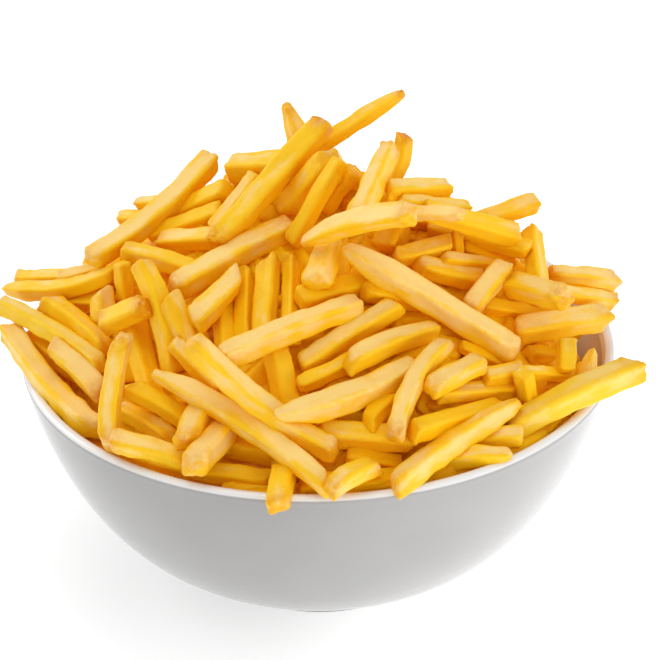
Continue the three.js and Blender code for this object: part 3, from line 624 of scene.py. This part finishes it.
TWIST = 0.16
CUT = 0.4  # slope of an end's cut
STEEP_CUT = 2.2
STEEP_SHARE = 0.3
CUT_LENGTH = 1.3  # in thicknesses, over which a cut fades out
TIP_LENGTH = 0.9
TIP_BULGE = 0.02
TIP_EDGE = 0.6
LUMP = 0.00020
LUMP_LENGTH = 0.009
LUMP_RANGE = (0.7, 1.4)
GRAIN = 0.00007
GRAIN_LENGTH = 0.0024
TIP_GRAIN = 2.5
FACE_TONES = 0.10  # how far the faces of one fry differ in tone
# Painted light: faces that look up are made paler and faces that look down more orange, as if lit from above.
PAINTED_TOP_LIGHT = 0.26
LEVEL_TONE = 0.3  # height of a face's direction at which the painted light from above makes it neither paler nor more orange
TIP_BROWN = (0.1, 0.65)


def section():
    """A rounded square with slightly sunken faces: points, and how near a corner each is."""
    half = 0.5
    corner = half - EDGE_ROUND
    points, edge = [], []
    for quarter in range(4):
        start = quarter * math.pi / 2
        diagonal = start + math.pi / 4
        centre = np.array([math.cos(diagonal), math.sin(diagonal)]) * corner * math.sqrt(2)
        for k in range(CORNER_STEPS):
            angle = start + k / (CORNER_STEPS - 1) * math.pi / 2
            points.append(centre + EDGE_ROUND * np.array([math.cos(angle), math.sin(angle)]))
            edge.append(1 - abs(2 * k / (CORNER_STEPS - 1) - 1) * EDGE_FADE)
        middle = np.array([math.cos(start + math.pi / 2), math.sin(start + math.pi / 2)])
        side = np.array([-middle[1], middle[0]])
        for offset, dip in FACE_DIPS:
            points.append(middle * (half - FACE_DIP * dip) + side * offset)
            edge.append(0.0)
    return np.array(points), np.array(edge)


SECTION, SECTION_EDGE = section()


def lumps(points, wavelength, count=5):
    """Smooth random relief between about -1 and 1."""
    directions = RNG.normal(size=(count, 3))
    lengths = np.linalg.norm(directions, axis=1)
    directions *= (2 * math.pi / wavelength * RNG.uniform(*LUMP_RANGE, count) / lengths)[:, None]
    phases = RNG.uniform(0, 2 * math.pi, count)
    return np.sin(points @ directions.T + phases).sum(-1) / math.sqrt(count)


def fry_mesh(fry):
    """One fry's vertices, quads and triangles, and its edge, tip, tone with painted light from above, and
    place at each vertex.
    """
    points, thickness = fry["points"], fry["thickness"]
    length = np.linalg.norm(points[-1] - points[0])
    ends = [d * thickness / length for d, _ in END_SCALES]
    inner = np.linspace(ends[-1], 1 - ends[-1], max(4, int(length / RING_STEP)))
    s = np.concatenate([ends[:-1], inner, 1 - np.array(ends[:-1][::-1])])
    first_scales = np.array([k for _, k in END_SCALES[:-1]])
    blunt = RNG.uniform(*BLUNTNESS, 2)
    if fry["name"] in ROUNDED:
        blunt[0] = ROUND_END
    scale = np.concatenate([first_scales ** blunt[0], np.ones(len(inner)),
                            first_scales[::-1] ** blunt[1]])
    knots = np.linspace(0, 1, SAMPLES)
    centres = np.stack([np.interp(s, knots, points[:, k]) for k in range(3)], 1)
    along = unit(points[-1] - points[0])
    first = unit(fry["face"] - along * (fry["face"] @ along))
    second = np.cross(along, first)
    bend = RNG.uniform(-1, 1, 2) * BEND * thickness / USUAL_THICKNESS
    wave = np.sin(s * math.pi * RNG.uniform(*BEND_WAVES) + RNG.uniform(0, ANY_PHASE)) * thickness
    centres = centres + np.outer(wave * bend[0], first) + np.outer(wave * bend[1], second)
    if fry["name"] in POINTED:
        grown = np.clip(s * length / (POINT_LENGTH * thickness), 0, 1) ** POINT_POWER
        scale = scale * (POINT_SIZE + (1 - POINT_SIZE) * grown)
    toward = s if RNG.uniform() < 0.5 else 1 - s
    taper = 1 - RNG.uniform(0, TAPER) * toward
    swell = 1 + SWELL * np.sin(s * length / SWELL_LENGTH + RNG.uniform(0, ANY_PHASE))
    aspect = RNG.uniform(*ASPECTS, 2)
    twist = RNG.uniform(-TWIST, TWIST) * (s - 0.5)
    size = (thickness * scale * taper * swell)[:, None]
    x0, y0 = SECTION[:, 0] * aspect[0], SECTION[:, 1] * aspect[1]
    x = size * (x0 * np.cos(twist)[:, None] - y0 * np.sin(twist)[:, None])
    y = size * (x0 * np.sin(twist)[:, None] + y0 * np.cos(twist)[:, None])
    reach = np.stack([s, 1 - s]) * length / thickness
    cut = RNG.uniform(-CUT, CUT, (2, 2))
    cut[:, RNG.integers(2)] *= RNG.choice([1.0, STEEP_CUT], 2, p=[1 - STEEP_SHARE, STEEP_SHARE])
    if fry["name"] in ROUNDED:
        cut[0] *= ROUND_CUT
    near = np.clip(1 - reach / CUT_LENGTH, 0, 1)
    slide = (near[0][:, None] * (cut[0, 0] * x + cut[0, 1] * y)
             + near[1][:, None] * (cut[1, 0] * x + cut[1, 1] * y))
    vertices = centres[:, None] + x[..., None] * first + y[..., None] * second + slide[..., None] * along
    out = unit_rows(vertices - centres[:, None])
    tip = np.clip(1 - reach.min(0) / TIP_LENGTH, 0, 1)[:, None] * np.ones(len(SECTION))
    rough = (LUMP * lumps(vertices, LUMP_LENGTH)
             + GRAIN * (1 + TIP_GRAIN * tip) * lumps(vertices, GRAIN_LENGTH))
    vertices = vertices + out * rough[..., None]
    rings, around = len(s), len(SECTION)
    ring = np.arange(rings - 1)[:, None] * around
    k = np.arange(around)
    after = (k + 1) % around
    quads = np.stack([ring + k, ring + after, ring + around + after, ring + around + k], -1)
    tips = vertices[[0, -1]].mean(1)
    tips += np.outer([-1, 1], along) * TIP_BULGE * thickness
    count = rings * around
    last = count - around
    caps = np.concatenate([np.stack([np.full(around, count), after, k], -1),
                           np.stack([np.full(around, count + 1), last + k, last + after], -1)])
    edge = np.tile(SECTION_EDGE, rings)
    faces = RNG.uniform(-FACE_TONES, FACE_TONES, 4)
    per_face = len(SECTION) // 4
    shift = np.roll(np.repeat(faces, per_face), CORNER_STEPS // 2)
    shift = (np.roll(shift, 1) + shift + np.roll(shift, -1)) / 3
    # Painted light from above: upper faces paler, lower faces more orange.
    shift = shift + PAINTED_TOP_LIGHT * (LEVEL_TONE - out[..., 2])
    within = np.stack([x, y, np.broadcast_to((s * length)[:, None], x.shape)], -1).reshape(-1, 3)
    within = np.concatenate([within, [[0, 0, 0], [0, 0, length]]]) + RNG.uniform(0, 1, 3)
    return (np.concatenate([vertices.reshape(-1, 3), tips]), quads.reshape(-1, 4), caps,
            np.append(edge, [TIP_EDGE, TIP_EDGE]), np.append(tip.ravel(), [1, 1]),
            np.append(shift.ravel(), [0, 0]), within)


def unit_rows(v):
    return v / np.maximum(np.linalg.norm(v, axis=-1, keepdims=True), 1e-9)


def joined_fries(name, fries, material):
    """All these fries as one mesh, with their shades as attributes of its points."""
    parts = []
    offset = 0
    for fry in fries:
        vertices, quads, caps, edge, tip, shift, within = fry_mesh(fry)
        tone = fry["tone"] + shift
        green = np.full(len(vertices), 1.0 if fry["name"] in GREENISH else 0.0)
        brown = tip * (1.0 if fry["name"] in DARK_TIPS else RNG.uniform(*TIP_BROWN))
        parts.append((vertices, quads + offset, caps + offset, edge, brown, tone, green, within))
        offset += len(vertices)
    vertices, quads, caps, edge, brown, tone, green, within = (np.concatenate(p) for p in zip(*parts))
    mesh = bpy.data.meshes.new(name)
    mesh.vertices.add(len(vertices))
    mesh.vertices.foreach_set("co", vertices.astype(np.float32).ravel())
    loops = np.concatenate([quads.ravel(), caps.ravel()])
    mesh.loops.add(len(loops))
    mesh.loops.foreach_set("vertex_index", loops.astype(np.int32))
    mesh.polygons.add(len(quads) + len(caps))
    starts = np.concatenate([np.arange(len(quads)) * 4, len(quads) * 4 + np.arange(len(caps)) * 3])
    mesh.polygons.foreach_set("loop_start", starts.astype(np.int32))
    mesh.update(calc_edges=True)
    mesh.validate()
    mesh.shade_smooth()
    for key, values in (("edge", edge), ("brown", brown), ("tone", tone), ("green", green)):
        mesh.attributes.new(key, "FLOAT", "POINT").data.foreach_set("value", values.astype(np.float32))
    grain = mesh.attributes.new("grain", "FLOAT_VECTOR", "POINT")
    grain.data.foreach_set("vector", within.astype(np.float32).ravel())
    return finished(name, mesh, material)


def finished(name, mesh, material):
    piece = bpy.data.objects.new(name, mesh)
    bpy.context.scene.collection.objects.link(piece)
    mesh.materials.append(material)
    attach(piece, "root")
    return piece


def revolved(name, profile, segments):
    """A closed smooth mesh of revolution from (radius, height) points that start and end on the axis."""
    angles = np.arange(segments) / segments * 2 * math.pi
    vertices = [(0, 0, profile[0][1])]
    for r, z in profile[1:-1]:
        vertices += [(r * math.cos(a), r * math.sin(a), z) for a in angles]
    vertices.append((0, 0, profile[-1][1]))
    faces = []
    rings = len(profile) - 2
    for k in range(segments):
        after = (k + 1) % segments
        faces.append((0, 1 + after, 1 + k))
        for ring in range(rings - 1):
            low = 1 + ring * segments
            faces.append((low + k, low + after, low + segments + after, low + segments + k))
        top = 1 + (rings - 1) * segments
        faces.append((top + k, top + after, len(vertices) - 1))
    mesh = bpy.data.meshes.new(name)
    mesh.from_pydata(vertices, [], faces)
    mesh.shade_smooth()
    return mesh


def mark_inside(mesh):
    """An attribute that is 1 on the bowl's lip and inner side and 0 on its outer side."""
    places = np.array([vertex.co for vertex in mesh.vertices])
    radius = np.hypot(places[:, 0], places[:, 1])
    depth = RIM_HEIGHT - places[:, 2]
    wall = np.array([outer_radius(d) for d in depth])
    inside = np.where(depth < LIP_RADIUS, radius < RIM_RADIUS - LIP_OUTSIDE, radius < wall - WALL / 2)
    mesh.attributes.new("inside", "FLOAT", "POINT").data.foreach_set("value", inside.astype(np.float32))
    return mesh


def bowl_profile():
    profile = [(0, 0), (FOOT_RADIUS - FOOT_EDGE - FOOT_HEM, 0), (FOOT_RADIUS - FOOT_EDGE, 0)]
    for degrees in (-60, -30, 0):
        a = math.radians(degrees)
        profile.append((FOOT_RADIUS - FOOT_EDGE + FOOT_EDGE * math.cos(a),
                        FOOT_EDGE + FOOT_EDGE * math.sin(a)))
    profile.append((FOOT_RADIUS, FOOT_EDGE + FOOT_RISE))
    for depth in np.linspace(FOOT_TOP_DEPTH, LIP_DEPTH, BOWL_STEPS):
        profile.append(belly_point(depth, 0))
    for degrees in range(0, 181, LIP_ARC):
        a = math.radians(degrees)
        profile.append((RIM_RADIUS - LIP_RADIUS + LIP_RADIUS * math.cos(a),
                        RIM_HEIGHT - LIP_RADIUS + LIP_RADIUS * math.sin(a)))
    for depth in np.linspace(LIP_DEPTH, FLOOR_DEPTH, BOWL_STEPS):
        profile.append(belly_point(depth, WALL))
    profile.append((0, RIM_HEIGHT - BELLY_DEPTH + WALL))
    return profile


def core_mesh():
    """The mound under the fries, its skin below the surface that they are laid on."""
    profile = [(0, RIM_HEIGHT - BELLY_DEPTH + WALL + CORE_GAP)]
    for depth in CORE_WALL_DEPTHS:
        profile.append(belly_point(depth, WALL + CORE_GAP))
    for r in np.linspace(CORE_RADIUS, 0.0, CORE_RINGS):
        profile.append((r, 2 * RIM_HEIGHT))  # the top, which is then lowered onto the mound
    mesh = revolved("fries_core", profile, CORE_SEGMENTS)
    for vertex in mesh.vertices:
        if vertex.co.z > 1.5 * RIM_HEIGHT:
            x, y = vertex.co.x, vertex.co.y
            wobble = CORE_WOBBLE * math.sin(x * CORE_WAVES[0]) * math.sin(y * CORE_WAVES[1])
            vertex.co.z = float(mound_height(x, y)) - CORE_DEPTH + wobble
    return mesh


# ---- materials ----

def node_material(name):
    material = bpy.data.materials.new(name)
    material.use_nodes = True
    nodes, links = material.node_tree.nodes, material.node_tree.links
    return material, nodes, links, nodes["Principled BSDF"]


def value_of(nodes, key):
    node = nodes.new("ShaderNodeAttribute")
    node.attribute_name = key
    return node.outputs["Fac"]


def noise_of(nodes, links, scale, detail=3.0, roughness=0.55):
    place = nodes.new("ShaderNodeTexCoord")
    noise = nodes.new("ShaderNodeTexNoise")
    noise.inputs["Scale"].default_value = scale
    noise.inputs["Detail"].default_value = detail
    noise.inputs["Roughness"].default_value = roughness
    links.new(place.outputs["Object"], noise.inputs["Vector"])
    return noise.outputs["Fac"]


def ranged(nodes, links, source, low, high, out_low=0.0, out_high=1.0):
    node = nodes.new("ShaderNodeMapRange")
    node.interpolation_type = "SMOOTHSTEP"
    for key, value in (("From Min", low), ("From Max", high), ("To Min", out_low), ("To Max", out_high)):
        node.inputs[key].default_value = value
    links.new(source, node.inputs["Value"])
    return node.outputs["Result"]


def streaks_of(nodes, links):
    """Noise that is stretched along each fry."""
    place = nodes.new("ShaderNodeAttribute")
    place.attribute_name = "grain"
    stretch = nodes.new("ShaderNodeMapping")
    stretch.inputs["Scale"].default_value = (300, 300, 70)
    links.new(place.outputs["Vector"], stretch.inputs["Vector"])
    noise = nodes.new("ShaderNodeTexNoise")
    noise.inputs["Scale"].default_value = 1.0
    noise.inputs["Detail"].default_value = 4.0
    noise.inputs["Roughness"].default_value = 0.6
    links.new(stretch.outputs["Vector"], noise.inputs["Vector"])
    return noise.outputs["Fac"]


def math_node(nodes, links, operation, a, b, clamped=True):
    node = nodes.new("ShaderNodeMath")
    node.operation = operation
    node.use_clamp = clamped
    for socket, value in zip(node.inputs, (a, b)):
        if isinstance(value, float):
            socket.default_value = value
        else:
            links.new(value, socket)
    return node.outputs[0]


def mixed(nodes, links, share, a, b):
    node = nodes.new("ShaderNodeMix")
    node.data_type = "RGBA"
    links.new(share, node.inputs[0])
    for socket, value in ((node.inputs[6], a), (node.inputs[7], b)):
        if isinstance(value, tuple):
            socket.default_value = (*value, 1)
        else:
            links.new(value, socket)
    return node.outputs[2]


def bumped(nodes, links, shader, height, strength, distance):
    bump = nodes.new("ShaderNodeBump")
    bump.inputs["Strength"].default_value = strength
    bump.inputs["Distance"].default_value = distance
    links.new(height, bump.inputs["Height"])
    links.new(bump.outputs["Normal"], shader.inputs["Normal"])


# Potato from pale to deep, its browned tips, and a little green on some.
PALE = (0.97, 0.67, 0.22)
GOLDEN = (0.97, 0.58, 0.013)
DEEP = (0.97, 0.535, 0.004)
BROWN = (0.70, 0.22, 0.004)
GREEN = (0.80, 0.62, 0.05)
GREEN_SHARE = 0.3
SHEEN = (1.0, 0.82, 0.40, 1.0)
# Reach of the occlusion that paints shade into the crevices between fries.
CREVICE_SHADE_WITHIN = 0.014
# The outside of the white porcelain is painted grey as painted shade; the inside and lip keep the white
# glaze.
OUTSIDE_PAINTED_SHADE = ((0.338, 0.334, 0.330), (0.356, 0.352, 0.348))
GLAZE_INSIDE = (0.84, 0.83, 0.82)
FLOOR_SHADES = ((0.79, 0.79, 0.79), (0.81, 0.81, 0.81))
FLOOR_FADE = (-0.08, 0.10)  # from where to where, left to right, the floor's own glow rises
FLOOR_GLOW = (0.37, 0.86)


def fry_material():
    material, nodes, links, shader = node_material("fried_potato")
    tone = value_of(nodes, "tone")
    patches = noise_of(nodes, links, 90.0)
    speckle = noise_of(nodes, links, 420.0, 4.0, 0.65)
    streaks = streaks_of(nodes, links)
    uneven = math_node(nodes, links, "ADD", ranged(nodes, links, patches, 0.3, 0.7, -0.16, 0.16),
                       ranged(nodes, links, streaks, 0.32, 0.68, -0.18, 0.18), False)
    rounded = ranged(nodes, links, value_of(nodes, "edge"), 0.0, 1.0, -0.07, 0.20)
    uneven = math_node(nodes, links, "ADD", uneven, rounded, False)
    # Painted shade: the colour turns more orange where ambient occlusion finds neighbours close, in the
    # crevices between fries.
    crevice_occlusion = nodes.new("ShaderNodeAmbientOcclusion")
    crevice_occlusion.samples = 6
    crevice_occlusion.inputs["Distance"].default_value = CREVICE_SHADE_WITHIN
    painted_crevice_shade = ranged(nodes, links, crevice_occlusion.outputs["AO"], 0.25, 0.95, 0.30, 0.0)
    shade = math_node(nodes, links, "ADD", math_node(nodes, links, "ADD", tone, uneven), painted_crevice_shade)
    colour = mixed(nodes, links, ranged(nodes, links, shade, 0.0, 0.46), PALE, GOLDEN)
    colour = mixed(nodes, links, ranged(nodes, links, shade, 0.5, 1.05), colour, DEEP)
    greened = math_node(nodes, links, "MULTIPLY", value_of(nodes, "green"), GREEN_SHARE)
    colour = mixed(nodes, links, greened, colour, GREEN)
    rims = math_node(nodes, links, "MULTIPLY", value_of(nodes, "edge"),
                     ranged(nodes, links, speckle, 0.42, 0.68, 0.0, 0.5))
    colour = mixed(nodes, links, rims, colour, DEEP)
    browned = math_node(nodes, links, "MULTIPLY", value_of(nodes, "brown"),
                        ranged(nodes, links, speckle, 0.30, 0.62, 0.25, 1.0))
    colour = mixed(nodes, links, browned, colour, BROWN)
    links.new(colour, shader.inputs["Base Color"])
    shader.inputs["Roughness"].default_value = 0.36
    shine = ranged(nodes, links, crevice_occlusion.outputs["AO"], 0.35, 0.95, 0.03, 0.40)
    links.new(shine, shader.inputs["Specular IOR Level"])
    shader.inputs["Specular Tint"].default_value = SHEEN
    shader.inputs["Subsurface Weight"].default_value = 0.12
    shader.inputs["Subsurface Radius"].default_value = (1.0, 0.6, 0.2)
    shader.inputs["Subsurface Scale"].default_value = 0.003
    blisters = math_node(nodes, links, "MULTIPLY", noise_of(nodes, links, 330.0, 2.0), 0.7)
    pits = math_node(nodes, links, "MULTIPLY", noise_of(nodes, links, 1000.0, 4.0, 0.6), 0.5)
    bumped(nodes, links, shader, math_node(nodes, links, "ADD", blisters, pits, False), 0.5, 0.0006)
    return material


def core_material():
    material, nodes, links, shader = node_material("hidden_potato_painted_shade")
    # Painted shade: the hidden core is coloured deep orange with brown patches, darker than the fries, to
    # pass for the shade in the deep gaps.
    patches = ranged(nodes, links, noise_of(nodes, links, 120.0), 0.35, 0.65)
    links.new(mixed(nodes, links, patches, DEEP, BROWN), shader.inputs["Base Color"])
    shader.inputs["Roughness"].default_value = 0.6
    return material


def porcelain_material():
    material, nodes, links, shader = node_material("white_porcelain")
    cloud = ranged(nodes, links, noise_of(nodes, links, 25.0, 2.0), 0.35, 0.65)
    # Painted shade: the outer wall grey, the lip and inside white.
    glaze_and_painted_shade = mixed(nodes, links, cloud, *OUTSIDE_PAINTED_SHADE)
    glaze_and_painted_shade = mixed(nodes, links, value_of(nodes, "inside"), glaze_and_painted_shade, GLAZE_INSIDE)
    links.new(glaze_and_painted_shade, shader.inputs["Base Color"])
    shader.inputs["Roughness"].default_value = 0.16
    shader.inputs["Coat Weight"].default_value = 0.3
    shader.inputs["Coat Roughness"].default_value = 0.08
    bumped(nodes, links, shader, noise_of(nodes, links, 60.0, 1.0), 0.04, 0.0005)
    return material


def floor_material():
    material, nodes, links, shader = node_material("pale_floor")
    grain = ranged(nodes, links, noise_of(nodes, links, 4.0, 2.0), 0.3, 0.7)
    links.new(mixed(nodes, links, grain, *FLOOR_SHADES), shader.inputs["Base Color"])
    shader.inputs["Roughness"].default_value = 0.9
    shader.inputs["Emission Color"].default_value = (1, 1, 1, 1)
    place = nodes.new("ShaderNodeTexCoord")
    axes = nodes.new("ShaderNodeSeparateXYZ")
    links.new(place.outputs["Object"], axes.inputs["Vector"])
    brighter = ranged(nodes, links, axes.outputs["X"], *FLOOR_FADE, *FLOOR_GLOW)
    links.new(brighter, shader.inputs["Emission Strength"])
    return material


# ---- floor, light and camera ----

FLOOR_HALF = 3
WORLD_GLOW = 0.75
DIFFUSE_BOUNCES = 8  # for light that gets deep between the fries
HEAP = (0, 0, 0.1)
BOWL_SIDE = (0.03, 0, 0.03)
# Each soft light's name, place, target, size and power.
LIGHTS = (
    ("top", (-0.15, 0.0, 1.15), HEAP, 0.6, 1.75),
    ("right", (0.9, -0.5, 0.28), HEAP, 0.5, 0.9),
    ("low_right", (0.75, -0.85, 0.10), BOWL_SIDE, 0.4, 0.9),
    ("left_back", (-0.80, 0.45, 0.60), HEAP, 0.6, 2.4),
    ("front", (0.3, -0.7, 1.0), HEAP, 0.6, 0.25),
)


def make_floor():
    mesh = bpy.data.meshes.new("floor")
    corners = [(x * FLOOR_HALF, y * FLOOR_HALF, 0) for x, y in ((-1, -1), (1, -1), (1, 1), (-1, 1))]
    mesh.from_pydata(corners, [], [(0, 1, 2, 3)])
    floor = bpy.data.objects.new("floor", mesh)
    bpy.context.scene.collection.objects.link(floor)
    mesh.materials.append(floor_material())


def area_light(name, place, target, size, power):
    data = bpy.data.lights.new(name, "AREA")
    data.shape = "DISK"
    data.size = size
    data.energy = power
    light = bpy.data.objects.new(name, data)
    bpy.context.scene.collection.objects.link(light)
    back = unit(np.array(place) - np.array(target))
    side = unit(np.cross(UP, back))
    light.matrix_world = matrix_from(side, np.cross(back, side), back, place)


def matrix_from(x, y, z, place):
    return Matrix([[x[k], y[k], z[k], place[k]] for k in range(3)] + [[0, 0, 0, 1]])


def make_camera():
    data = bpy.data.cameras.new("camera")
    data.sensor_width = SENSOR
    data.lens = SENSOR * GRID_STEPS / (2 * GRID_CENTRE)
    data.clip_end = 10
    camera = bpy.data.objects.new("camera", data)
    bpy.context.scene.collection.objects.link(camera)
    camera.matrix_world = matrix_from(RIGHT, GRID_UP, -FORWARD, EYE)
    bpy.context.scene.camera = camera


def make_light():
    world = bpy.data.worlds.new("studio")
    bpy.context.scene.world = world
    world.use_nodes = True
    world.node_tree.nodes["Background"].inputs["Color"].default_value = (1, 1, 1, 1)
    world.node_tree.nodes["Background"].inputs["Strength"].default_value = WORLD_GLOW
    for light in LIGHTS:
        area_light(*light)
    scene = bpy.context.scene
    scene.view_settings.view_transform = "Standard"
    scene.view_settings.look = "None"
    scene.cycles.diffuse_bounces = DIFFUSE_BOUNCES


# ---- the object ----

def make_bowl():
    mesh = mark_inside(revolved("bowl_porcelain", bowl_profile(), BOWL_SEGMENTS))
    bowl = finished("bowl_porcelain", mesh, porcelain_material())
    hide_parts("bowl")


def make_fries():
    shown, cover, rim = lay_all()
    potato = fry_material()
    pieces = [joined_fries("fries_shown", shown, potato),
              joined_fries("fries_cover", cover, potato),
              joined_fries("fries_under", under_layer() + rim, potato),
              finished("fries_core", core_mesh(), core_material())]
    for piece in pieces:
        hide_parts("fries")


make_floor()
make_light()
make_camera()
make_bowl()
make_fries()
